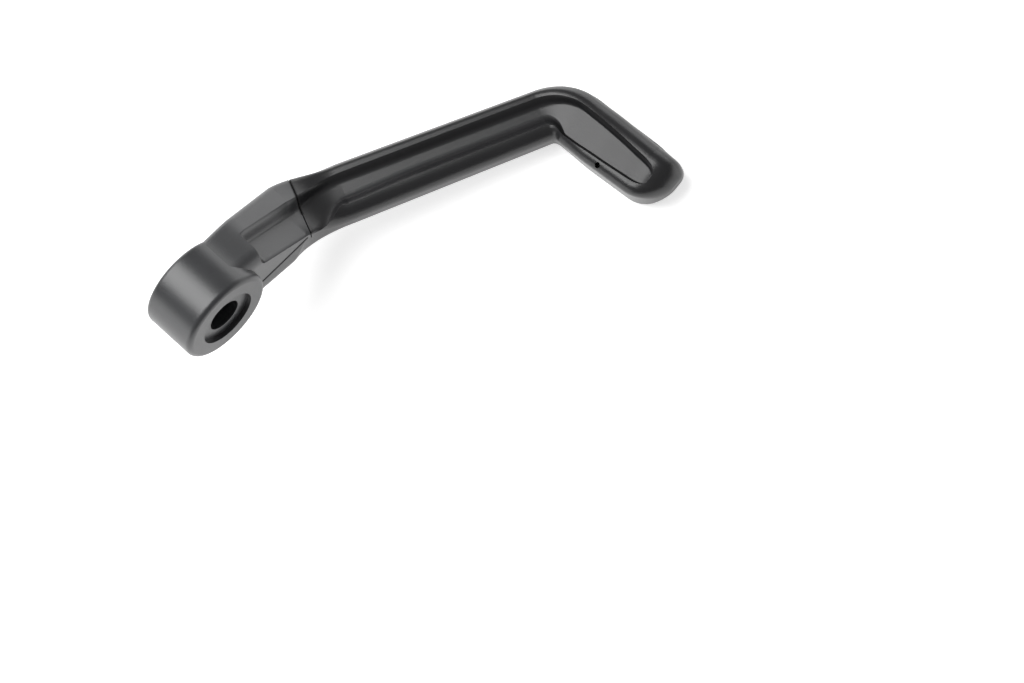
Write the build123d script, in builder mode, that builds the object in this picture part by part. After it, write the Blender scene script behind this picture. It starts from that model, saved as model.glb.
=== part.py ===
"""Brake lever guard for a motorbike handlebar end.

The frame is the one of the mount: +X runs outward along the handlebar axis, -Y runs forward and +Z is up.
The origin lies on the bore axis in the inner seat face. All sizes are in millimetres.
"""
import math
import os
from build123d import *

os.makedirs("parts", exist_ok=True)

# Eye that sits on the handlebar end
eye_radius = 16.0
eye_length = 19.6
rim_bevel_radial = 4.6
rim_bevel_axial = 1.5
rim_edge_round = 1.4
inner_rim_round = 1.8
bore_radius = 5.7
register_radius = 9.8
register_depth = 1.6
head_radius = 7.6
head_floor = 8.0

# Round cap over the bolt head
cap_radius = 9.6
cap_thickness = 2.4
cap_gap = 0.3
cap_sunk = 0.5
cap_edge = 0.4
cap_skirt_gap = 0.05
cap_skirt_length = 3.0
cap_skirt_wall = 1.2
notch_width = 3.2
notch_depth = 1.5
notch_floor = 0.8
notch_turn = 112.0

# Course of the arm, the bar and the tip
arm_drop = 50.0
elbow = Vector(17.2, -40.0, -32.6)
corner = Vector(-21.2, -118.6, -46.5)
tip_end = Vector(-66.2, -120.4, -46.3)
corner_radius = 12.0
arm_run = 38.0
elbow_run = 14.0
tip_swell = 11.0
corner_growth = 0.7

# Sections along the course
arm_top = 18.6
arm_bottom = -15.0
arm_taper = 0.29
arm_inner = 2.6
arm_inner_flare = 0.09
arm_outer_flare = 0.17
arm_rise_start = -1.0
arm_rise_run = 16.0
arm_full = 16.0
arm_sunk = 0.05
band_height = 0.8
bar_half_high = 6.3
bar_half_root = 9.5
bar_half_end = 8.6
tip_top = 9.3
tip_bottom = -7.6
tip_back = -9.8
tip_front = 9.2
tip_taper = 0.6
end_round_high = 8.2
end_round_front = 4.2
end_round_back = 11.0
end_room = 10.4

# Bevel of the outer top edge, across and down
arm_bevel = (1.5, 7.6)
bar_bevel = (1.7, 2.6)
tip_bevel = (3.4, 3.4)

# Corner radii: inner bottom, outer bottom, lower end of the bevel, upper end of the bevel, inner top
arm_radii = (8.5, 4.0, 1.0, 2.4, 4.6)
bar_radii = (5.6, 5.4, 2.6, 1.8, 4.6)
tip_radii = (5.2, 3.8, 4.0, 4.6, 3.4)

# Flat panel on the outside of the arm, drawn in reach along the arm and height across it
panel_radius = 10.6
panel_flare = 0.13
panel_corner_reach = 38.0
panel_corner_height = 11.4
panel_low_reach = 42.0
panel_low_height = -3.0
panel_foot_height = -30.0

# Channel on the upper side: a pocket in the arm, a step along the bar and a leaf recess in the tip
pocket_start = 11.6
pocket_cove = 4.5
pocket_depth = 4.8
pocket_edge = 0.9
pocket_foot = 2.8
pocket_roll = 1.2
ridge_offset = 13.0
ridge_flare = 0.11
channel_depth = 2.5
channel_root = 4.2
channel_end = 3.8
channel_edge = 2.0
channel_foot = 2.0
channel_roll = 2.6
channel_inner_root = -6.9
channel_inner_end = -6.2
channel_inner_foot = 6.0
channel_open = 0.35
leaf_depth = 3.4
leaf_end = 39.0
leaf_outer = 4.5
leaf_inner = -7.6
leaf_edge = 0.5
leaf_foot = 1.5
cutter_lift = 0.25
cutter_pass = 0.4
cutter_height = 8.0

# Joint between arm and bar, in reach, height and distance along X
seam_reach = 42.8
seam_height = 18.6
seam_depth = 17.5
seam_lean = (0.80, 0.52, -0.43)
groove_width = 0.4
groove_depth = 0.5
tongue_start = 17.5
tongue_height = 2.2
tongue_rise = 0.466
tongue_peak = 39.0
tongue_fall = 0.5
tongue_depth = 13.5

# Screws that hold the tongue to the arm
screw_radius = 1.5
screw_gap = 0.05
screw_grip = 4.0
screw_bite = 4.2
screw_head_radius = 2.75
screw_head_height = 3.0
screw_key = 2.5
screw_key_depth = 2.0
screw_reaches = (22.0, 29.5)
screw_middle = 9.2
screw_hole_end = 0.5
screw_hole_gap = 0.25
screw_head_gap = 0.3

# Oval insert in the front of the tip and drain hole in its inner rim
insert_length = 31.0
insert_height = 8.4
insert_thickness = 1.4
insert_gap = 0.12
insert_sunk = 0.1
insert_middle = 20.4
insert_lift = 0.4
drain_radius = 0.9
drain_reach = 22.9
drain_back = 1.7

far = 200.0
outward = Vector(1, 0, 0)
arm_dir = Vector(0, -math.cos(math.radians(arm_drop)), -math.sin(math.radians(arm_drop)))
arm_up = Vector(0, -math.sin(math.radians(arm_drop)), math.cos(math.radians(arm_drop)))
bar_dir = (corner - elbow).normalized()
tip_dir = (tip_end - corner).normalized()
bar_length = (corner - elbow).length
tip_length = (tip_end - corner).length
turn = math.acos(bar_dir.dot(tip_dir))
setback = corner_radius * math.tan(turn / 2)
bar_end = bar_length - setback
tip_full = setback + tip_swell
tip_box = (tip_back, tip_front, tip_bottom, tip_top)


def flat_outward(direction):
    """Horizontal direction square to a run, on its outer side."""
    return direction.cross(Vector(0, 0, 1)).normalized() * -1


def frame_on_arm(reach):
    return Plane(origin=arm_dir * reach, x_dir=outward, z_dir=arm_dir)


def frame_on_bar(reach):
    return Plane(origin=elbow + bar_dir * reach, x_dir=flat_outward(bar_dir), z_dir=bar_dir)


def frame_on_tip(reach):
    return Plane(origin=corner + tip_dir * reach, x_dir=flat_outward(tip_dir), z_dir=tip_dir)


def frame_on_corner(share):
    """Frame at a share of the arc that joins the bar and the tip."""
    angle = turn * share
    axis = bar_dir.cross(tip_dir).normalized()
    side = axis.cross(bar_dir).normalized()
    centre = corner - bar_dir * setback + side * corner_radius
    spot = centre - side * (corner_radius * math.cos(angle)) + bar_dir * (corner_radius * math.sin(angle))
    heading = bar_dir * math.cos(angle) + side * math.sin(angle)
    return Plane(origin=spot, x_dir=flat_outward(heading), z_dir=heading)


def ease(share):
    """Smooth step from 0 to 1."""
    return share * share * (3 - 2 * share)


def mix(first, second, share):
    return first + (second - first) * share


def mix_all(first, second, share):
    return tuple(mix(one, two, share) for one, two in zip(first, second))


def arm_station(reach):
    """Section of the arm: it widens outward, its top rises out of the eye and its underside tapers."""
    rise = ease(min(max((reach - arm_rise_start) / arm_rise_run, 0.0), 1.0))
    inner = arm_inner + arm_inner_flare * reach
    outer = eye_length + band_height + arm_outer_flare * reach
    bottom = arm_bottom + arm_taper * reach
    top = mix(eye_radius - arm_sunk, arm_top, rise)
    return frame_on_arm(reach), (inner, outer, bottom, top), arm_bevel, arm_radii


def elbow_station(share):
    """Section between arm and bar, hung from a curve along the upper side, turned and resized by the share."""
    arm_frame, arm_box, bevel, radii = arm_station(arm_run)
    first = Vector(arm_frame.from_local_coords(((arm_box[0] + arm_box[1]) / 2, arm_box[3], 0)))
    last = Vector(frame_on_bar(elbow_run).from_local_coords((0, bar_half_high, 0)))
    pull = (last - first).length * 0.38
    second = first + arm_dir * pull
    third = last - bar_dir * pull
    rest = 1 - share
    spot = first * rest**3 + second * (3 * rest**2 * share) + third * (3 * rest * share**2) + last * share**3
    slope = (second - first) * rest**2 + (third - second) * (2 * rest * share) + (last - third) * share**2
    heading = slope.normalized()
    side = mix(outward, flat_outward(bar_dir), share)
    side = (side - heading * side.dot(heading)).normalized()
    half_wide = mix((arm_box[1] - arm_box[0]) / 2, bar_half_root, ease(share))
    height = mix(arm_box[3] - arm_box[2], 2 * bar_half_high, ease(share))
    box = (-half_wide, half_wide, -height, 0.0)
    plane = Plane(origin=spot, x_dir=side, z_dir=heading)
    return plane, box, mix_all(arm_bevel, bar_bevel, share), mix_all(arm_radii, bar_radii, share)


def bar_station(reach):
    """Section of the bar, a little slimmer toward the corner."""
    half = mix(bar_half_root, bar_half_end, (reach - elbow_run) / (bar_end - elbow_run))
    return frame_on_bar(reach), (-half, half, -bar_half_high, bar_half_high), bar_bevel, bar_radii


def swell_station(plane, grown):
    """Section that grows from the bar to the tip."""
    bar_box = (-bar_half_end, bar_half_end, -bar_half_high, bar_half_high)
    box = mix_all(bar_box, tip_box, grown)
    return plane, box, mix_all(bar_bevel, tip_bevel, grown), mix_all(bar_radii, tip_radii, grown)


def tip_station(reach):
    """Section of the tip behind the corner, where the growth ends."""
    share = min((reach - setback) / tip_swell, 1.0)
    return swell_station(frame_on_tip(reach), mix(corner_growth, 1.0, ease(share)))


def round_loss(depth, radius):
    """How far a quarter round has drawn a side in, at a depth measured from its very end."""
    left = radius - min(depth, radius)
    return radius - math.sqrt(radius**2 - left**2)


def end_station(depth):
    """Section of the straight tip and its domed end, at a depth from the very end."""
    narrow = tip_taper * (1 - depth / (tip_length - tip_full))
    back = tip_back + narrow + round_loss(depth, end_round_back)
    front = tip_front - narrow - round_loss(depth, end_round_front)
    bottom = tip_bottom + round_loss(depth, end_round_high)
    top = tip_top - round_loss(depth, end_round_high)
    squeeze = min(1.0, (top - bottom) / end_room, (front - back) / end_room)
    bevel = tuple(size * squeeze for size in tip_bevel)
    radii = tuple(radius * squeeze for radius in tip_radii)
    return frame_on_tip(tip_length - depth), (back, front, bottom, top), bevel, radii


def inset_station(station):
    """The same section drawn in by the depth of the joint's groove."""
    plane, box, bevel, radii = station
    box = (box[0] + groove_depth, box[1] - groove_depth, box[2] + groove_depth, box[3] - groove_depth)
    return plane, box, bevel, tuple(radius - groove_depth for radius in radii)


def draw_section(plane, box, bevel, radii):
    """Five-sided section with a bevelled outer top edge and its own radius at each corner."""
    inner, outer, bottom, top = box
    across, down = bevel
    corners = [(inner, bottom), (outer, bottom), (outer, top - down), (outer - across, top), (inner, top)]
    with BuildSketch(plane) as section:
        with BuildLine():
            Polyline(*corners, close=True)
        make_face()
        for spot, radius in zip(corners, radii):
            fillet(section.vertices().sort_by_distance(spot)[0], radius)
    return section.sketch


def channel_station(station, wall, shape, depth, inner_edge=0.0, closed=0.0):
    """Cutter section. Open, its inner edge rolls down. Closed, that edge has risen and moved in as a rim.

    The shape gives the reach of the wall's edge and foot, the size of the roll and the foot of the inner rim.
    """
    plane, box = station[:2]
    edge, foot, roll, inner_foot = shape
    floor = box[3] - depth
    risen = min(closed / 0.6, 1.0)
    moved = max((closed - 0.4) / 0.6, 0.0)
    roll_start = mix(box[0] + roll, inner_edge + inner_foot, closed)
    roll_end = mix(box[0] - cutter_pass, inner_edge, moved)
    roll_height = mix(floor - roll, box[3] + cutter_lift, risen)
    return plane, wall + edge, wall - foot, box[3], floor, roll_start, roll_end, roll_height, closed


def draw_channel(plane, edge, foot, top, floor, roll_start, roll_end, roll_height, closed):
    """Cutter section: a curved wall, a flat floor and an inner edge that rolls down or rises."""
    start = (edge, top + cutter_lift)
    middle = (edge + foot) / 2
    roll_middle = (roll_start + roll_end) / 2
    high = top + cutter_height
    with BuildSketch(plane) as section:
        with BuildLine():
            Line((edge, high), start)
            Bezier(start, (middle, top), (middle, floor), (foot, floor))
            Line((foot, floor), (roll_start, floor))
            Bezier(
                (roll_start, floor),
                (mix(roll_start, roll_end, 0.55), floor),
                (mix(roll_end, roll_middle, closed), mix(floor, roll_height, mix(0.4, 1.0, closed))),
                (roll_end, roll_height),
            )
            Line((roll_end, roll_height), (roll_end - cutter_height, high))
            Line((roll_end - cutter_height, high), (edge, high))
        make_face()
    return section.sketch


def lowered_station(plane, edge, foot, top, floor, roll_start, roll_end, roll_height, closed):
    """The same cutter section, sunk by the depth of the joint's groove."""
    sunk = groove_depth
    return plane, edge + sunk, foot + sunk, top, floor - sunk, roll_start, roll_end, roll_height - sunk, closed


arm_plane = Plane(origin=(0, 0, 0), x_dir=arm_dir, z_dir=(-1, 0, 0))
seam_spot = arm_dir * seam_reach + arm_up * seam_height + outward * seam_depth
seam_dir = (arm_dir * seam_lean[0] + arm_up * seam_lean[1] + outward * seam_lean[2]).normalized()
seam_plane = Plane(origin=seam_spot, z_dir=seam_dir)
tip_forward = flat_outward(tip_dir)
front_plane = Plane(origin=corner + tip_forward * tip_front, x_dir=tip_dir * -1, z_dir=tip_forward)

rise_stations = [arm_station(reach) for reach in (0.0, 4.0, 9.0, arm_full)]
arm_stations = [arm_station(reach) for reach in (arm_full, arm_run)]
elbow_shares = (0.2, 0.4, 0.6, 0.8, 1.0)
elbow_stations = [elbow_station(share) for share in elbow_shares]
bar_stations = [bar_station(elbow_run), bar_station(bar_end)]
corner_shares = (0.25, 0.5, 0.75, 1.0)
corner_stations = [swell_station(frame_on_corner(share), corner_growth * ease(share)) for share in corner_shares]
swell_stations = [tip_station(setback + tip_swell * share) for share in (0.25, 0.5, 0.75, 1.0)]
tip_stations = [end_station(tip_length - tip_full), end_station(end_round_back)]
dome_depths = [end_round_high * (1 - math.sin(math.radians(angle))) for angle in (-8, 6, 19, 32, 45, 58, 70, 81)]

# Skin of the arm, the bar and the tip in one run, with a domed end
skin_runs = [
    rise_stations,
    arm_stations,
    arm_stations[-1:] + elbow_stations,
    bar_stations,
    bar_stations[-1:] + corner_stations,
    corner_stations[-1:] + swell_stations,
    tip_stations,
    tip_stations[-1:] + [end_station(depth) for depth in dome_depths],
]
with BuildPart() as guard_skin:
    for run in skin_runs:
        loft(sections=[draw_section(*station) for station in run])

# Channel cutter: pocket, step and leaf recess in one run
pocket_shape = (pocket_edge, pocket_foot, pocket_roll, channel_inner_foot)
channel_shape = (channel_edge, channel_foot, channel_roll, channel_inner_foot)
leaf_shape = (leaf_edge, leaf_foot, channel_roll, leaf_foot)
cove_run = []
for share in (0.0, 0.03, 0.12, 0.32, 0.62, 1.0):
    reach = pocket_start + pocket_cove * share
    depth = pocket_depth * math.sqrt(1 - (1 - share) ** 2)
    cove_run.append(channel_station(arm_station(reach), ridge_offset + ridge_flare * reach, pocket_shape, depth))
ridge_end = ridge_offset + ridge_flare * arm_run
pocket_run = cove_run[-1:] + [channel_station(arm_station(arm_run), ridge_end, pocket_shape, pocket_depth)]
arm_last = arm_stations[-1][1]
elbow_wall = ridge_end - (arm_last[0] + arm_last[1]) / 2
elbow_course = pocket_run[-1:]
for share, station in zip(elbow_shares, elbow_stations):
    eased = ease(share)
    wall = mix(elbow_wall, channel_root, eased)
    shape = mix_all(pocket_shape, channel_shape, eased)
    closed = ease(max((share - channel_open) / (1 - channel_open), 0.0))
    depth = mix(pocket_depth, channel_depth, eased)
    elbow_course.append(channel_station(station, wall, shape, depth, channel_inner_root, closed))
narrow_run = elbow_course[-1:]
for share in (0.12, 0.24, 0.36):
    wall = mix(channel_root, channel_end, share)
    inner_edge = mix(channel_inner_root, channel_inner_end, ease(share / 0.36))
    station = bar_station(mix(elbow_run, bar_end, share))
    narrow_run.append(channel_station(station, wall, channel_shape, channel_depth, inner_edge, 1.0))
bar_last = channel_station(bar_stations[-1], channel_end, channel_shape, channel_depth, channel_inner_end, 1.0)
bar_run = narrow_run[-1:] + [bar_last]
corner_run = bar_run[-1:]
for share, station in zip(corner_shares, corner_stations):
    eased = ease(share)
    wall = mix(channel_end, leaf_outer, eased)
    shape = mix_all(channel_shape, leaf_shape, eased)
    inner_edge = mix(channel_inner_end, leaf_inner, eased)
    depth = mix(channel_depth, leaf_depth, eased)
    corner_run.append(channel_station(station, wall, shape, depth, inner_edge, 1.0))
leaf_run = leaf_end - setback
leaf_course = corner_run[-1:]
leaf_steps = (
    (0.04, 4.5, -7.6, 0.0),
    (0.09, 4.45, -7.55, 0.0),
    (0.16, 4.4, -7.5, 0.0),
    (0.32, 4.2, -7.2, 0.0),
    (0.55, 3.7, -6.8, 0.0),
    (0.75, 3.1, -6.3, 0.0),
    (0.88, 2.6, -5.9, 0.0),
    (0.95, 1.8, -5.2, 0.4),
    (1.0, 0.1, -3.6, 1.2),
)
for step, wall, inner_edge, lift in leaf_steps:
    station = tip_station(setback + leaf_run * step)
    leaf_course.append(channel_station(station, wall, leaf_shape, leaf_depth - lift, inner_edge, 1.0))
channel_cuts = []
for run in (cove_run, pocket_run, elbow_course, narrow_run, bar_run, corner_run, leaf_course):
    with BuildPart() as channel_cut:
        loft(sections=[draw_channel(*station) for station in run])
    channel_cuts.append(channel_cut.part)

# Room taken out of the arm for the tongue of the bar
tongue_end = tongue_start + 50.0
peak_height = tongue_height + tongue_rise * (tongue_peak - tongue_start)
with BuildPart() as tongue_room:
    with BuildSketch(arm_plane):
        with BuildLine():
            Polyline(
                (tongue_start, tongue_height),
                (tongue_peak, peak_height),
                (tongue_end, peak_height - tongue_fall * (tongue_end - tongue_peak)),
                (tongue_end, -60.0),
                (tongue_start, -60.0),
                close=True,
            )
        make_face()
    extrude(amount=-tongue_depth)
    extrude(tongue_room.faces().sort_by(Axis.X)[0], amount=far)

# Fine groove round the joint, as deep as the inset skin and the lowered channel leave it
slope_dir = (arm_dir + arm_up * tongue_rise).normalized()
slope_up = (arm_up - slope_dir * arm_up.dot(slope_dir)).normalized()
tongue_spot = arm_dir * tongue_start + arm_up * tongue_height
tongue_length = (tongue_peak - tongue_start) * math.hypot(1.0, tongue_rise)
tongue_plane = Plane(origin=tongue_spot, x_dir=slope_dir, z_dir=slope_up)
joint_stations = arm_stations[-1:] + elbow_stations
with BuildPart() as groove_core:
    loft(sections=[draw_section(*inset_station(station)) for station in joint_stations])
    loft(sections=[draw_section(*inset_station(station)) for station in arm_stations])
    loft(sections=[draw_section(*inset_station(station)) for station in bar_stations])
    for run in (pocket_run, elbow_course, narrow_run):
        loft(sections=[draw_channel(*lowered_station(*station)) for station in run], mode=Mode.SUBTRACT)
with BuildPart() as joint_groove:
    with BuildSketch(seam_plane):
        Circle(far)
    extrude(amount=groove_width / 2, both=True)
    add(groove_core.part, mode=Mode.SUBTRACT)
    add(tongue_room.part, mode=Mode.SUBTRACT)
with BuildPart() as tongue_groove:
    with BuildSketch(tongue_plane):
        with Locations((tongue_length / 2, tongue_depth - far / 2)):
            Rectangle(tongue_length, far)
    extrude(amount=groove_width / 2, both=True)
    add(groove_core.part, mode=Mode.SUBTRACT)

# Screw seats: the screws stand square to the sloping face of the tongue
screw_frames = []
for reach in screw_reaches:
    height = tongue_height + tongue_rise * (reach - tongue_start)
    foot = arm_dir * reach + arm_up * height + outward * screw_middle
    screw_frames.append(Plane(origin=foot, x_dir=outward, z_dir=slope_up))

with BuildPart() as eye_ring:
    with BuildSketch(Plane.YZ):
        Circle(eye_radius)
    extrude(amount=eye_length + band_height)
    chamfer(eye_ring.edges().group_by(Axis.X)[-1], rim_bevel_axial, rim_bevel_radial)
    rim_edges = eye_ring.edges().filter_by(GeomType.CIRCLE).sort_by(Axis.X)
    fillet(rim_edges[1], rim_edge_round)
    fillet(rim_edges[0], inner_rim_round)

cap_back = eye_length - cap_thickness - cap_sunk
with BuildPart() as mount_arm:
    add(guard_skin.part)
    split(bisect_by=seam_plane, keep=Keep.BOTTOM)
    add(eye_ring.part)
    # flat panel sunk into the outside of the eye and the arm
    with BuildSketch(arm_plane.offset(-eye_length)):
        Circle(panel_radius)
        with Locations((-panel_radius, 0.0)):
            Rectangle(2 * panel_radius, 2 * panel_radius, mode=Mode.INTERSECT)
    extrude(amount=-far, mode=Mode.SUBTRACT)
    panel_plane = Plane(
        origin=outward * eye_length,
        x_dir=arm_dir + outward * panel_flare,
        z_dir=arm_dir * panel_flare - outward,
    )
    with BuildSketch(panel_plane):
        with BuildLine():
            Polyline(
                (0.0, panel_radius),
                (panel_corner_reach, panel_corner_height),
                (panel_low_reach, panel_low_height),
                (panel_low_reach, panel_foot_height),
                (0.0, -panel_radius),
                close=True,
            )
        make_face()
    extrude(amount=-far, mode=Mode.SUBTRACT)
    add(channel_cuts, mode=Mode.SUBTRACT)
    add(joint_groove.part, mode=Mode.SUBTRACT)
    add(tongue_room.part, mode=Mode.SUBTRACT)
    add(tongue_groove.part, mode=Mode.SUBTRACT)
    # bore, register for the handlebar end, room for the bolt head and seat for the cap
    with BuildSketch(Plane.YZ):
        Circle(bore_radius)
    extrude(amount=eye_length, mode=Mode.SUBTRACT)
    with BuildSketch(Plane.YZ):
        Circle(register_radius)
    extrude(amount=register_depth, mode=Mode.SUBTRACT)
    with BuildSketch(Plane.YZ.offset(head_floor)):
        Circle(head_radius)
    extrude(amount=far, mode=Mode.SUBTRACT)
    with BuildSketch(Plane.YZ.offset(cap_back)):
        Circle(cap_radius + cap_gap)
    extrude(amount=far, mode=Mode.SUBTRACT)
    for frame in screw_frames:
        with BuildSketch(frame):
            Circle(screw_radius + screw_gap)
        extrude(amount=screw_bite + screw_hole_end, mode=Mode.SUBTRACT)

insert_spot = (-insert_middle, insert_lift)
with BuildPart() as guard_bar:
    add(guard_skin.part)
    split(bisect_by=seam_plane, keep=Keep.TOP)
    with BuildPart(mode=Mode.PRIVATE) as tongue:
        add(guard_skin.part)
        split(bisect_by=seam_plane, keep=Keep.BOTTOM)
        add(tongue_room.part, mode=Mode.INTERSECT)
    add(joint_groove.part, mode=Mode.SUBTRACT)
    add(tongue.part)
    add(channel_cuts, mode=Mode.SUBTRACT)
    add(tongue_groove.part, mode=Mode.SUBTRACT)
    # recess for the oval insert
    with BuildSketch(front_plane.offset(-insert_thickness)):
        with Locations(insert_spot):
            SlotOverall(insert_length + 2 * insert_gap, insert_height + 2 * insert_gap)
    extrude(amount=10.0, mode=Mode.SUBTRACT)
    # drain hole in the inner rim of the tip
    with BuildSketch(Plane(origin=frame_on_tip(drain_reach).from_local_coords((tip_back + drain_back, 0, 0)))):
        Circle(drain_radius)
    extrude(amount=far, mode=Mode.SUBTRACT)
    for frame in screw_frames:
        with BuildSketch(frame):
            Circle(screw_radius + screw_hole_gap)
        extrude(amount=-far, mode=Mode.SUBTRACT)
        with BuildSketch(frame.offset(-screw_grip)):
            Circle(screw_head_radius + screw_head_gap)
        extrude(amount=-far, mode=Mode.SUBTRACT)


# Round cap that snaps over the bolt head
with BuildPart() as end_cap:
    with BuildSketch(Plane.YZ.offset(cap_back)):
        Circle(cap_radius)
    extrude(amount=cap_thickness)
    chamfer(end_cap.edges().group_by(Axis.X)[-1], cap_edge)
    with BuildSketch(Plane.YZ.offset(cap_back)):
        Circle(head_radius - cap_skirt_gap)
        Circle(head_radius - cap_skirt_gap - cap_skirt_wall, mode=Mode.SUBTRACT)
    extrude(amount=-cap_skirt_length)
    # pry notch in the edge
    with BuildSketch(Plane.YZ.offset(cap_back + notch_floor)):
        with PolarLocations(cap_radius, 1, start_angle=notch_turn):
            Rectangle(2 * notch_depth, notch_width)
    extrude(amount=cap_thickness, mode=Mode.SUBTRACT)

with BuildPart() as tip_insert:
    with BuildSketch(front_plane.offset(-insert_thickness)):
        with Locations(insert_spot):
            SlotOverall(insert_length, insert_height)
    extrude(amount=insert_thickness - insert_sunk)

with BuildPart() as tongue_screws:
    for frame in screw_frames:
        with BuildSketch(frame.offset(-screw_grip)):
            Circle(screw_radius)
        extrude(amount=screw_grip + screw_bite)
        with BuildSketch(frame.offset(-screw_grip)):
            Circle(screw_head_radius)
        extrude(amount=-screw_head_height)
        with BuildSketch(frame.offset(-screw_grip - screw_head_height)):
            RegularPolygon(screw_key / 2, 6, major_radius=False)
        extrude(amount=screw_key_depth, mode=Mode.SUBTRACT)

mount_arm.part.label = "mount_arm"
guard_bar.part.label = "guard_bar"
end_cap.part.label = "end_cap"
tip_insert.part.label = "tip_insert"
tongue_screws.part.label = "tongue_screws"

export_step(mount_arm.part, "parts/mount_arm.step")
export_step(guard_bar.part, "parts/guard_bar.step")
export_step(end_cap.part, "parts/end_cap.step")
export_step(tip_insert.part, "parts/tip_insert.step")
export_step(tongue_screws.part, "parts/tongue_screws.step")
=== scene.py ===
# %% [markdown]
# # Brake lever guard
#
# A guard for the brake lever of a motorbike: an eye that bolts to the handlebar end, a stepped
# arm, a long channelled bar that runs in front of the lever, and a tip that turns inward.
# The solids come from the CAD frame, so this lesson is about finishes, a pair of screws, light
# and the camera.

import math

import bpy
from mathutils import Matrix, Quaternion, Vector


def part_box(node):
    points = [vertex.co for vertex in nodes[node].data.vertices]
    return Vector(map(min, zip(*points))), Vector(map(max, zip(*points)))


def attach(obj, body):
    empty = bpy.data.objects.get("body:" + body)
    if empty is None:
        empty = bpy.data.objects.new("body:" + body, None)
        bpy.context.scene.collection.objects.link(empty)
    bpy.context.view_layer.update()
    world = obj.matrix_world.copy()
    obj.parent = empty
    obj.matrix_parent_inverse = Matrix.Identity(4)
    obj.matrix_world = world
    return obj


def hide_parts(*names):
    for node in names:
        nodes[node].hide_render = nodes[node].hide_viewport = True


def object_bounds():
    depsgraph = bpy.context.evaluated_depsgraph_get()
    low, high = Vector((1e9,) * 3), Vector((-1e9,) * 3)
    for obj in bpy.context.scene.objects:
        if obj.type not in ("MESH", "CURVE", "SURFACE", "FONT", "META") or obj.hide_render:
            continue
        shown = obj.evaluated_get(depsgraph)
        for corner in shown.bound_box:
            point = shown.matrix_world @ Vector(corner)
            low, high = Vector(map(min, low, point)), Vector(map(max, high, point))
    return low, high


MM = 0.001
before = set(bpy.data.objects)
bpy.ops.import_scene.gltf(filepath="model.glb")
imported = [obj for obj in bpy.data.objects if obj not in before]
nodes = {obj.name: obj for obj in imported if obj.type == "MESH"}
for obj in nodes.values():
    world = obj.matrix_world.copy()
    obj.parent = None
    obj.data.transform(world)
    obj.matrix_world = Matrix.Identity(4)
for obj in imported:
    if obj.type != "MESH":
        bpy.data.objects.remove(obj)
cad_low, cad_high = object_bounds()
print("pieces:", sorted(nodes))
print("box in mm:", [round((b - a) / MM, 1) for a, b in zip(cad_low, cad_high)])

# %% [markdown]
# ## Three shared effects
#
# Every visible piece of the guard is black, and black only looks real through its sheen. Each
# effect that several finishes use is a node group that is built once. The first is the fine
# grain of a blasted or moulded surface. The second is a broad, faint unevenness of the sheen, as
# handling and the coating bath leave it. The third is a dark line of painted shade in the joint
# between the arm and the bar: it lies where the CAD groove is, within a fraction of a millimetre
# of a plane, so it can be measured from the piece's own coordinates.

# %% Helpers for node trees
def add_node(tree, kind, label, place):
    """Puts one node into a tree and gives it a readable name."""
    node = tree.nodes.new(kind)
    node.name = node.label = label
    node.location = place
    return node


def feed(tree, socket, value):
    """Links an input to another node's output, or sets it to a plain value."""
    if isinstance(value, bpy.types.NodeSocket):
        tree.links.new(value, socket)
    else:
        socket.default_value = value


def step(tree, label, operation, place, *values, kind="ShaderNodeMath"):
    """One sum on numbers, or on vectors with the other kind of node. Gives its result."""
    node = add_node(tree, kind, label, place)
    node.operation = operation
    for socket, value in zip(node.inputs, values):
        feed(tree, socket, value)
    gives_number = kind == "ShaderNodeMath" or operation == "DOT_PRODUCT"
    return node.outputs["Value" if gives_number else "Vector"]


def vector_step(tree, label, operation, place, *values):
    """One sum on vectors."""
    return step(tree, label, operation, place, *values, kind="ShaderNodeVectorMath")


def mix(tree, label, place, factor, first, second, kind="FLOAT"):
    """Goes from the first value to the second as the factor goes from 0 to 1."""
    node = add_node(tree, "ShaderNodeMix", label, place)
    node.data_type = kind
    for name, value in (("Factor", factor), ("A", first), ("B", second)):
        feed(tree, node.inputs[name], value)
    return node.outputs["Result"]


def new_group(name, inputs, outputs):
    """Starts a shader node group with named inputs, numbers or vectors, and number outputs."""
    tree = bpy.data.node_groups.new(name, "ShaderNodeTree")
    for label, value in inputs.items():
        kind = "NodeSocketVector" if isinstance(value, tuple) else "NodeSocketFloat"
        socket = tree.interface.new_socket(name=label, in_out="INPUT", socket_type=kind)
        socket.default_value = value
    for label in outputs:
        tree.interface.new_socket(name=label, in_out="OUTPUT", socket_type="NodeSocketFloat")
    entry = add_node(tree, "NodeGroupInput", "sizes", (-800, 0))
    leave = add_node(tree, "NodeGroupOutput", "result", (600, 0))
    spot = add_node(tree, "ShaderNodeTexCoord", "piece coordinates", (-800, 300))
    return tree, entry.outputs, leave.inputs, spot.outputs["Object"]


def noise(tree, label, place, spot, scale, detail, roughness=0.5):
    """A noise over the piece, with the given number of spots per metre."""
    node = add_node(tree, "ShaderNodeTexNoise", label, place)
    node.inputs["Detail"].default_value = detail
    node.inputs["Roughness"].default_value = roughness
    feed(tree, node.inputs["Vector"], spot)
    feed(tree, node.inputs["Scale"], scale)
    return node.outputs["Fac"]


# %% Fine grain
def build_fine_grain():
    """Height of a fine blasted grain: small pits on a slightly coarser wave."""
    tree, given, result, spot = new_group(
        "fine_grain", {"Grain per m": 4000.0, "Coarse share": 0.3}, ["Height"]
    )
    wave_to_pits = 0.27
    pits = noise(tree, "pits", (-400, 250), spot, given["Grain per m"], detail=2.0, roughness=0.6)
    coarser = step(
        tree, "coarser scale", "MULTIPLY", (-600, -100), given["Grain per m"], wave_to_pits
    )
    wave = noise(tree, "wave", (-400, -100), spot, coarser, detail=1.0)
    blend = mix(tree, "blend", (100, 100), given["Coarse share"], pits, wave)
    feed(tree, result["Height"], blend)
    return tree


fine_grain = build_fine_grain()
print("group:", fine_grain.name, "nodes:", len(fine_grain.nodes))


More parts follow.
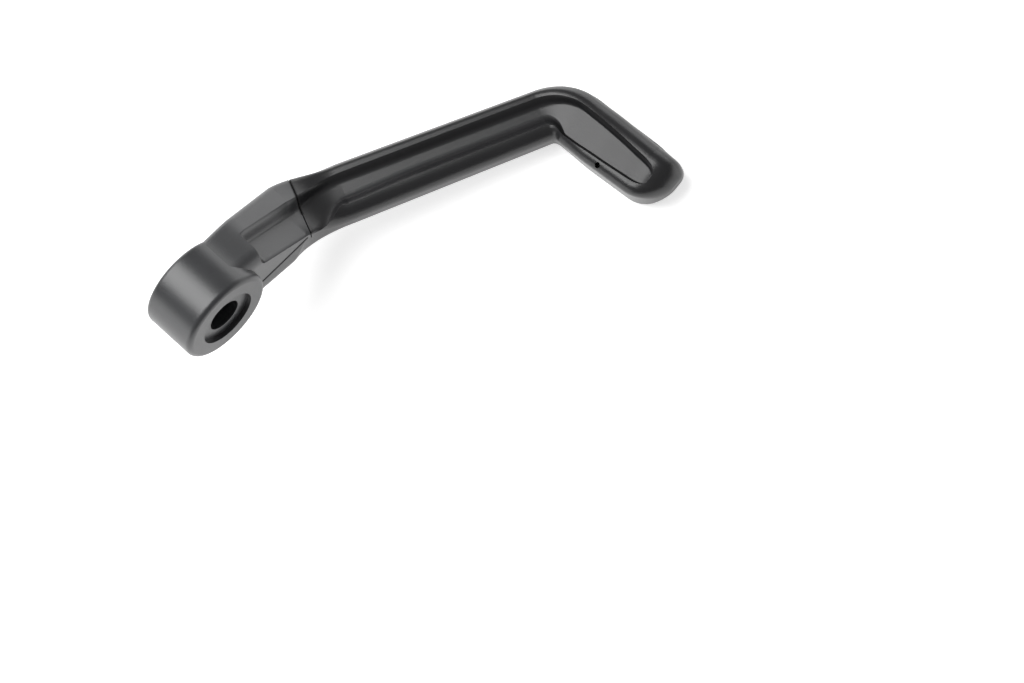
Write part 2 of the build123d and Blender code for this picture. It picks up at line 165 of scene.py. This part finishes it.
# %% Uneven sheen
def build_uneven_sheen():
    """A roughness that wanders a little round its middle value, in broad soft patches."""
    tree, given, result, spot = new_group(
        "uneven_sheen",
        {"Patches per m": 60.0, "Middle": 0.45, "Spread": 0.05},
        ["Roughness", "Patch"],
    )
    noise_middle = 0.5
    patch = noise(tree, "patches", (-400, 200), spot, given["Patches per m"], detail=3.0)
    centred = step(tree, "centred", "SUBTRACT", (-200, 200), patch, noise_middle)
    scaled = step(tree, "scaled", "MULTIPLY", (0, 100), centred, given["Spread"])
    total = step(tree, "total", "ADD", (200, 0), scaled, given["Middle"])
    feed(tree, result["Roughness"], total)
    feed(tree, result["Patch"], patch)
    return tree


uneven_sheen = build_uneven_sheen()
print("group:", uneven_sheen.name, "nodes:", len(uneven_sheen.nodes))


# %% Joint line
def build_joint_line():
    """A mask that is 1 on a plane, fades out within a half width, and stays inside a box.

    Under a second plane and on the inner side of a given X, the line has a gap.
    """
    tree, given, result, spot = new_group(
        "joint_line",
        {
            "Plane way": (0.0, 0.0, 1.0), "Plane offset": 0.0, "Half width": 0.3 * MM,
            "Box middle": (0.0, 0.0, 0.0), "Box half": (1.0, 1.0, 1.0),
            "Gap way": (0.0, 0.0, 1.0), "Gap offset": 0.0, "Gap side": -1.0,
        },
        ["Line"],
    )
    # how near the plane is
    along = vector_step(
        tree, "height over the origin", "DOT_PRODUCT", (-600, 300), spot, given["Plane way"]
    )
    above = step(
        tree, "height over the plane", "SUBTRACT", (-400, 300), along, given["Plane offset"]
    )
    near = step(tree, "distance", "ABSOLUTE", (-200, 300), above)
    fade = add_node(tree, "ShaderNodeMapRange", "fade", (0, 300))
    fade.interpolation_type = "SMOOTHSTEP"
    for name, value in (
        ("Value", near), ("From Min", 0.0), ("From Max", given["Half width"]),
        ("To Min", 1.0), ("To Max", 0.0),
    ):
        feed(tree, fade.inputs[name], value)

    # whether the point is in the box
    from_middle = vector_step(
        tree, "from the middle", "SUBTRACT", (-600, -100), spot, given["Box middle"]
    )
    each_way = vector_step(tree, "each way", "ABSOLUTE", (-450, -100), from_middle)
    past = vector_step(tree, "past the box", "SUBTRACT", (-300, -100), each_way, given["Box half"])
    ways = add_node(tree, "ShaderNodeSeparateXYZ", "three ways", (-150, -100))
    feed(tree, ways.inputs["Vector"], past)
    most = step(
        tree, "most of two", "MAXIMUM", (0, -50), ways.outputs["X"], ways.outputs["Y"]
    )
    most_of_all = step(tree, "most of three", "MAXIMUM", (150, -100), most, ways.outputs["Z"])
    inside = step(tree, "inside", "LESS_THAN", (300, -100), most_of_all, 0.0)

    # whether it is in the gap
    gap_height = vector_step(
        tree, "height for the gap", "DOT_PRODUCT", (-600, -400), spot, given["Gap way"]
    )
    under = step(
        tree, "under the gap's plane", "LESS_THAN", (-400, -400), gap_height, given["Gap offset"]
    )
    where = add_node(tree, "ShaderNodeSeparateXYZ", "where", (-600, -600))
    feed(tree, where.inputs["Vector"], spot)
    inner = step(
        tree, "on the inner side", "LESS_THAN", (-400, -600), where.outputs["X"], given["Gap side"]
    )
    gap = step(tree, "gap", "MULTIPLY", (-200, -450), under, inner)
    kept = step(tree, "kept", "SUBTRACT", (0, -450), 1.0, gap)

    line = step(tree, "line", "MULTIPLY", (450, 100), fade.outputs["Result"], inside)
    with_gap = step(tree, "line with its gap", "MULTIPLY", (500, -100), line, kept)
    feed(tree, result["Line"], with_gap)
    return tree


joint_line = build_joint_line()
print("group:", joint_line.name, "nodes:", len(joint_line.nodes))

# %% [markdown]
# ## The black finishes
#
# The arm is metal with a satin black coat, the bar is a moulding with a slightly coarser grain,
# and the cap and the insert are matte. They share one recipe and differ in their numbers: the
# two tones that the patches move between, the sheen, and the size and depth of the grain.

# %% One recipe for a black finish
def black_finish(
    name, dark, light, sheen, spread, patches, grain, depth, metallic=0.0, specular=0.5
):
    """A black surface with wandering sheen and fine grain.

    Patches and grain are counts per metre, and depth is in metres.
    """
    material = bpy.data.materials.new(name)
    material.use_nodes = True
    tree = material.node_tree
    surface = tree.nodes["Principled BSDF"]
    surface.inputs["Metallic"].default_value = metallic
    surface.inputs["Specular IOR Level"].default_value = specular
    uneven = add_node(tree, "ShaderNodeGroup", "uneven sheen", (-700, 100))
    uneven.node_tree = uneven_sheen
    for label, value in (("Patches per m", patches), ("Middle", sheen), ("Spread", spread)):
        uneven.inputs[label].default_value = value
    tone = mix(
        tree, "tone", (-400, 300), uneven.outputs["Patch"], (*dark, 1.0), (*light, 1.0), "RGBA"
    )
    grained = add_node(tree, "ShaderNodeGroup", "fine grain", (-700, -200))
    grained.node_tree = fine_grain
    grained.inputs["Grain per m"].default_value = grain
    bump = add_node(tree, "ShaderNodeBump", "grain bump", (-300, -200))
    bump.inputs["Strength"].default_value = 1.0
    bump.inputs["Distance"].default_value = depth
    feed(tree, bump.inputs["Height"], grained.outputs["Height"])
    feed(tree, surface.inputs["Base Color"], tone)
    feed(tree, surface.inputs["Roughness"], uneven.outputs["Roughness"])
    feed(tree, surface.inputs["Normal"], bump.outputs["Normal"])
    return material


# %% The five finishes
arm_coat = black_finish(
    "satin_black_arm", (0.030, 0.031, 0.033), (0.040, 0.041, 0.044),
    sheen=0.34, spread=0.08, patches=70.0, grain=2800.0, depth=0.000028, specular=0.75,
)
bar_moulding = black_finish(
    "satin_black_bar", (0.013, 0.013, 0.014), (0.019, 0.019, 0.020),
    sheen=0.32, spread=0.06, patches=55.0, grain=2400.0, depth=0.000035, specular=0.55,
)
cap_moulding = black_finish(
    "matte_black_cap", (0.022, 0.022, 0.025), (0.030, 0.030, 0.033),
    sheen=0.48, spread=0.08, patches=90.0, grain=4200.0, depth=0.000012,
)
insert_moulding = black_finish(
    "matte_black_insert", (0.020, 0.020, 0.022), (0.028, 0.028, 0.030),
    sheen=0.46, spread=0.08, patches=90.0, grain=4600.0, depth=0.000010,
)
screw_oxide = black_finish(
    "black_oxide_steel", (0.06, 0.06, 0.064), (0.09, 0.09, 0.094),
    sheen=0.38, spread=0.12, patches=300.0, grain=9000.0, depth=0.000006, metallic=1.0,
)
finishes = {
    "mount_arm": arm_coat,
    "guard_bar": bar_moulding,
    "end_cap": cap_moulding,
    "tip_insert": insert_moulding,
}
for name, material in finishes.items():
    piece = nodes[name]
    piece.data.materials.clear()
    piece.data.materials.append(material)
    print(name, "->", material.name, "faces:", len(piece.data.polygons))

# %% [markdown]
# ## Tongue screws
#
# Two socket screws hold the tongue to the arm from below. The CAD part has them as plain turned
# shapes. A real one has a ridged head for the fingers and a chamfer round its top, so Geometry
# Nodes make one screw from named sizes and set it twice along a line. A star outline gives the
# ridges, two extrusions give the head and its chamfer, and a boolean takes out the hexagon. The
# shank starts inside the head, because a union of two shapes that only touch keeps the faces
# between them.

# %% Inputs of the screw tree
screw_sizes = {
    "Head radius": 2.75, "Head height": 3.0, "Ridge depth": 0.12, "Chamfer": 0.3,
    "Key radius": 1.443, "Key depth": 2.0,
    "Shank radius": 1.5, "Grip": 4.0, "Bite": 4.2, "Root": 0.5,
}
screw_counts = {"Ridges": 30, "Count": 2}
key_sides = 6
shank_sides = 32
chamfer_draw = 0.9
merge_distance = 0.001 * MM


def start_screw_tree():
    """Starts the tree and names its inputs. Sizes go in as metres."""
    tree = bpy.data.node_groups.new("screw_row", "GeometryNodeTree")

    def new_socket(label, kind, way="INPUT"):
        return tree.interface.new_socket(name=label, in_out=way, socket_type="NodeSocket" + kind)

    for label, value in screw_sizes.items():
        new_socket(label, "Float").default_value = value * MM
    for label, value in screw_counts.items():
        new_socket(label, "Int").default_value = value
    for label in ("First foot", "Last foot", "Turn"):
        new_socket(label, "Vector")
    new_socket("Finish", "Material")
    new_socket("Geometry", "Geometry", "OUTPUT")
    return tree


# %% A tree for a row of socket screws
def build_screw_row():
    """One ridged socket screw, its head downwards, set at equal steps between two points."""
    tree = start_screw_tree()
    given = add_node(tree, "NodeGroupInput", "sizes", (-1400, 0)).outputs
    leave = add_node(tree, "NodeGroupOutput", "result", (1800, 0))

    def make(kind, label, place, **inputs):
        """A node with its inputs fed. An underscore in an input's name stands for a space."""
        node = add_node(tree, "GeometryNode" + kind, label, place)
        for name, value in inputs.items():
            feed(tree, node.inputs[name.replace("_", " ")], value)
        return node

    def upward(label, height, place):
        """A vector straight up."""
        node = add_node(tree, "ShaderNodeCombineXYZ", label, place)
        feed(tree, node.inputs["Z"], height)
        return node.outputs["Vector"]

    # head: a star outline, filled, pulled up, and drawn in at its top
    valley = step(
        tree, "valley radius", "SUBTRACT", (-1250, 250), given["Head radius"], given["Ridge depth"]
    )
    outline = make(
        "CurveStar", "ridged outline", (-1100, 300),
        Points=given["Ridges"], Inner_Radius=valley, Outer_Radius=given["Head radius"],
    )
    under_head = make(
        "FillCurve", "under the head", (-900, 300), Curve=outline.outputs["Curve"]
    )
    under_head.mode = "NGONS"
    side_height = step(
        tree, "side height", "SUBTRACT", (-900, 150), given["Head height"], given["Chamfer"]
    )
    side = make(
        "ExtrudeMesh", "side of the head", (-700, 300),
        Mesh=under_head.outputs["Mesh"], Offset_Scale=side_height, Individual=False,
    )
    edge = make(
        "ExtrudeMesh", "chamfer", (-500, 300),
        Mesh=side.outputs["Mesh"], Selection=side.outputs["Top"],
        Offset_Scale=given["Chamfer"], Individual=False,
    )
    drawn_in = make(
        "ScaleElements", "drawn in", (-300, 300),
        Geometry=edge.outputs["Mesh"], Selection=edge.outputs["Top"], Scale=chamfer_draw,
    )
    turned = make("FlipFaces", "turned", (-500, 100), Mesh=under_head.outputs["Mesh"])
    closed = make(
        "JoinGeometry", "closed head", (-100, 300), Geometry=drawn_in.outputs["Geometry"]
    )
    feed(tree, closed.inputs["Geometry"], turned.outputs["Mesh"])
    merged = make(
        "MergeByDistance", "merged", (50, 300),
        Geometry=closed.outputs["Geometry"], Distance=merge_distance,
    )

    # hexagon for the key, centred on the top of the head, so half of it cuts
    key_length = step(
        tree, "key length", "ADD", (-700, -150), given["Key depth"], given["Key depth"]
    )
    key = make(
        "MeshCylinder", "key", (-500, -100),
        Vertices=key_sides, Radius=given["Key radius"], Depth=key_length,
    )
    key_place = make(
        "Transform", "key in place", (-300, -100), Geometry=key.outputs["Mesh"],
        Translation=upward("top of the head", given["Head height"], (-500, -250)),
    )
    socketed = make(
        "MeshBoolean", "socketed head", (250, 200),
        Mesh_1=merged.outputs["Geometry"], Mesh_2=key_place.outputs["Geometry"],
    )
    socketed.operation = "DIFFERENCE"
    below_grip = step(tree, "under the grip", "MULTIPLY", (250, 0), given["Grip"], -1.0)
    head_down = make(
        "Transform", "head down", (450, 200), Geometry=socketed.outputs["Mesh"],
        Translation=upward("head place", below_grip, (350, -50)), Rotation=(math.pi, 0.0, 0.0),
    )

    # shank, from its root in the head to its end in the arm
    rooted = step(tree, "rooted grip", "ADD", (-900, -450), given["Grip"], given["Root"])
    shank_length = step(tree, "shank length", "ADD", (-700, -400), rooted, given["Bite"])
    below_root = step(tree, "under the root", "MULTIPLY", (-700, -600), rooted, -1.0)
    shank = make(
        "MeshCone", "shank", (-500, -400), Vertices=shank_sides, Depth=shank_length,
        Radius_Bottom=given["Shank radius"], Radius_Top=given["Shank radius"],
    )
    shank_place = make(
        "Transform", "shank in place", (-300, -400), Geometry=shank.outputs["Mesh"],
        Translation=upward("shank foot", below_root, (-500, -600)),
    )
    whole = add_node(tree, "GeometryNodeMeshBoolean", "whole screw", (650, 100))
    whole.operation = "UNION"
    feed(tree, whole.inputs["Mesh 2"], head_down.outputs["Geometry"])
    feed(tree, whole.inputs["Mesh 2"], shank_place.outputs["Geometry"])

    # the row
    row = add_node(tree, "GeometryNodeMeshLine", "row", (450, -300))
    row.mode = "END_POINTS"
    feed(tree, row.inputs["Count"], given["Count"])
    feed(tree, row.inputs["Start Location"], given["First foot"])
    feed(tree, row.inputs["Offset"], given["Last foot"])
    screws = make(
        "InstanceOnPoints", "screws", (850, 0), Points=row.outputs["Mesh"],
        Instance=whole.outputs["Mesh"], Rotation=given["Turn"],
    )
    real = make(
        "RealizeInstances", "real", (1050, 0), Geometry=screws.outputs["Instances"]
    )
    finish = make(
        "SetMaterial", "finish", (1250, 0),
        Geometry=real.outputs["Geometry"], Material=given["Finish"],
    )
    feed(tree, leave.inputs["Geometry"], finish.outputs["Geometry"])
    return tree


screw_row = build_screw_row()
print("tree:", screw_row.name, "nodes:", len(screw_row.nodes))

# %% Set the two screws
first_foot = (9.2, -17.433, -14.091)
last_foot = (9.2, -24.931, -17.590)
screw_tilt = 25.015
screw_values = {
    "First foot": tuple(v * MM for v in first_foot),
    "Last foot": tuple(v * MM for v in last_foot),
    "Turn": (math.radians(screw_tilt), 0.0, 0.0),
    "Finish": screw_oxide,
}
draft = bpy.data.objects.new("screw_draft", bpy.data.meshes.new("screw_draft"))
bpy.context.scene.collection.objects.link(draft)
maker = draft.modifiers.new("screw_row", "NODES")
maker.node_group = screw_row
for item in screw_row.interface.items_tree:
    if item.in_out == "INPUT" and item.name in screw_values:
        maker[item.identifier] = screw_values[item.name]
bpy.context.view_layer.update()
made = draft.evaluated_get(bpy.context.evaluated_depsgraph_get())
screw_mesh = bpy.data.meshes.new_from_object(made)
bpy.data.objects.remove(draft)
for slot in reversed(range(len(screw_mesh.materials))):
    if screw_mesh.materials[slot] is None:
        screw_mesh.materials.pop(index=slot)
socket_screws = bpy.data.objects.new("socket_screws", screw_mesh)
bpy.context.scene.collection.objects.link(socket_screws)
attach(socket_screws, "root")
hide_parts("tongue_screws")
print("socket screws:", len(screw_mesh.polygons), "faces,", [m.name for m in screw_mesh.materials])
for axis in range(3):
    old = [round(v[axis] / MM, 2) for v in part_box("tongue_screws")]
    new = [round(f(v.co[axis] for v in screw_mesh.vertices) / MM, 2) for f in (min, max)]
    print("  axis", "XYZ"[axis], "CAD", old, "screws", new)

# %% [markdown]
# ## Painted shade in the joint
#
# The bar and the arm meet on one leaning plane, and a tongue of the bar runs under the arm along
# a second, sloping plane that shows on the inner side. Both planes are those of the CAD part.
# The line goes into the finishes of both pieces as painted shade: dark and dull where the mask
# is 1, in place of the shadow inside the narrow joint. Under the slope the tongue is one piece
# with the bar, so the leaning plane's line has a gap there.

# %% Planes of the joint
seam_way = (-0.41087, -0.87197, -0.26619)
slope_way = (0.0, -0.42285, 0.90620)
tongue_side = 13.5 * MM
seam_line = {
    "Plane way": seam_way, "Plane offset": 34.768 * MM, "Half width": 0.80 * MM,
    "Box middle": (10.0 * MM, -44.0 * MM, -20.0 * MM),
    "Box half": (40.0 * MM, 30.0 * MM, 40.0 * MM),
    "Gap way": slope_way, "Gap offset": -4.2 * MM, "Gap side": tongue_side,
}
tongue_line = {
    "Plane way": slope_way, "Plane offset": -5.398 * MM, "Half width": 1.20 * MM,
    "Box middle": (3.0 * MM, -23.7 * MM, -17.0 * MM),
    "Box half": (10.5 * MM, 10.8 * MM, 9.0 * MM),
}
# painted shade: colour and roughness of the dark line that stands in for shadow in the joint
joint_shade_colour = (0.006, 0.006, 0.006, 1.0)
joint_shade_roughness = 0.95


# %% Painted shade on both pieces
def paint_joint_shade(material):
    """Puts the joint's lines between a finish's tone and sheen and its surface."""
    tree = material.node_tree
    surface = tree.nodes["Principled BSDF"]
    lines = []
    for label, place, values in (
        ("seam line", (-900, 700), seam_line), ("tongue line", (-900, 450), tongue_line),
    ):
        group = add_node(tree, "ShaderNodeGroup", label, place)
        group.node_tree = joint_line
        for name, value in values.items():
            group.inputs[name].default_value = value
        lines.append(group.outputs["Line"])
    either = step(tree, "either line", "MAXIMUM", (-600, 600), *lines)
    tone = surface.inputs["Base Color"].links[0].from_socket
    sheen = surface.inputs["Roughness"].links[0].from_socket
    # painted shade: the base colour goes dark and the roughness dull along both joint lines
    painted_shade = mix(tree, "dusty tone", (-180, 420), either, tone, joint_shade_colour, "RGBA")
    dull = mix(tree, "dull sheen", (-180, 120), either, sheen, joint_shade_roughness)
    feed(tree, surface.inputs["Base Color"], painted_shade)
    feed(tree, surface.inputs["Roughness"], dull)


for material in (arm_coat, bar_moulding):
    paint_joint_shade(material)
    print("joint lines in", material.name)

# %% [markdown]
# ## Floor and light
#
# The guard is shown over a plain white floor. The floor lies at the lowest point of the part,
# under the tip. It glows a little by itself, as a lit table does, so the shadow stays faint. The
# glow is only for rays from the camera, mirrors and glass, so it adds no soft light to the part.
#
# A black part shows its shape through what it mirrors. One large softbox stands above the part,
# on the outer side: the flat recess of the tip mirrors it and turns light, while the bar, which
# slopes forward, mirrors the dark space in front of it. A low strip on the outer side draws the
# long edges. Two dim strips at the level of the part finish it: the one in front lights the face
# of the arm, and the one behind lights the round of the eye.

# %% Floor
floor_size = 6.0
floor_level = cad_low.z
floor_colour = (0.92, 0.92, 0.92, 1.0)
floor_roughness = 0.9
floor_glow = 0.62
white = (1.0, 1.0, 1.0, 1.0)

bpy.ops.mesh.primitive_plane_add(size=floor_size, location=(0.0, 0.0, floor_level))
floor = bpy.context.object
floor.name = "floor"
floor_white = bpy.data.materials.new("floor_white")
floor_white.use_nodes = True
floor_tree = floor_white.node_tree
floor_surface = floor_tree.nodes["Principled BSDF"]
floor_surface.inputs["Base Color"].default_value = floor_colour
floor_surface.inputs["Roughness"].default_value = floor_roughness
floor_surface.inputs["Specular IOR Level"].default_value = 0.0
floor_surface.inputs["Emission Color"].default_value = white
ray = add_node(floor_tree, "ShaderNodeLightPath", "ray", (-700, -300)).outputs
seen = step(
    floor_tree, "seen or mirrored", "MAXIMUM", (-500, -300),
    ray["Is Camera Ray"], ray["Is Glossy Ray"],
)
seen_through = step(
    floor_tree, "or seen through", "MAXIMUM", (-350, -300), seen, ray["Is Transmission Ray"]
)
glow = step(floor_tree, "glow", "MULTIPLY", (-200, -300), seen_through, floor_glow)
feed(floor_tree, floor_surface.inputs["Emission Strength"], glow)
floor.data.materials.append(floor_white)
print("floor at z =", round(floor_level / MM, 1), "mm")


# %% Softboxes
def softbox(name, way, distance, wide, high, radiance):
    """An area lamp that looks at the middle of the part from a given way."""
    lamp = bpy.data.lights.new(name, "AREA")
    lamp.shape = "RECTANGLE"
    lamp.size = wide
    lamp.size_y = high
    lamp.energy = radiance * math.pi * wide * high
    box = bpy.data.objects.new(name, lamp)
    box.location = middle + Vector(way).normalized() * distance
    box.rotation_euler = (middle - box.location).to_track_quat("-Z", "Y").to_euler()
    bpy.context.scene.collection.objects.link(box)


middle = (cad_low + cad_high) / 2
softbox("key", (0.40, 0.12, 0.90), distance=1.2, wide=1.0, high=1.0, radiance=5.0)
softbox("edge", (0.95, -0.10, 0.22), distance=1.0, wide=0.8, high=0.25, radiance=3.0)
softbox("front", (0.30, -0.95, 0.08), distance=1.1, wide=0.9, high=0.2, radiance=2.0)
softbox("back", (0.28, 0.94, 0.12), distance=1.1, wide=1.0, high=0.45, radiance=1.8)

studio_level = 0.22
world = bpy.data.worlds.new("studio")
bpy.context.scene.world = world
world.use_nodes = True
backdrop = world.node_tree.nodes["Background"]
backdrop.inputs["Color"].default_value = white
backdrop.inputs["Strength"].default_value = studio_level

# %% [markdown]
# ## Camera
#
# The guard is seen from high up on the inner side, so that the bore, the pocket and the channel
# all show. The camera stands on a point, looks at another one, and is turned about its axis so
# that the bar climbs to the right.

# %% Camera
camera_place = Vector((-322.96, -38.23, 857.27)) * MM
camera_aim = Vector((-63.32, -52.12, -31.63)) * MM
camera_roll = -45.70
camera_lens = 105.3
camera_sensor = 36.0
nearest_seen = 0.01

view = bpy.data.cameras.new("view")
view.sensor_fit = "HORIZONTAL"
view.sensor_width = camera_sensor
view.lens = camera_lens
view.clip_start = nearest_seen
eye = bpy.data.objects.new("view", view)
level = (camera_aim - camera_place).to_track_quat("-Z", "Y")
turn = Quaternion((0.0, 0.0, 1.0), math.radians(camera_roll))
eye.rotation_euler = (level @ turn).to_euler()
eye.location = camera_place
bpy.context.scene.collection.objects.link(eye)
bpy.context.scene.camera = eye
bpy.context.scene.view_settings.view_transform = "Standard"
print("camera at", [round(v, 3) for v in camera_place], "lens", camera_lens)
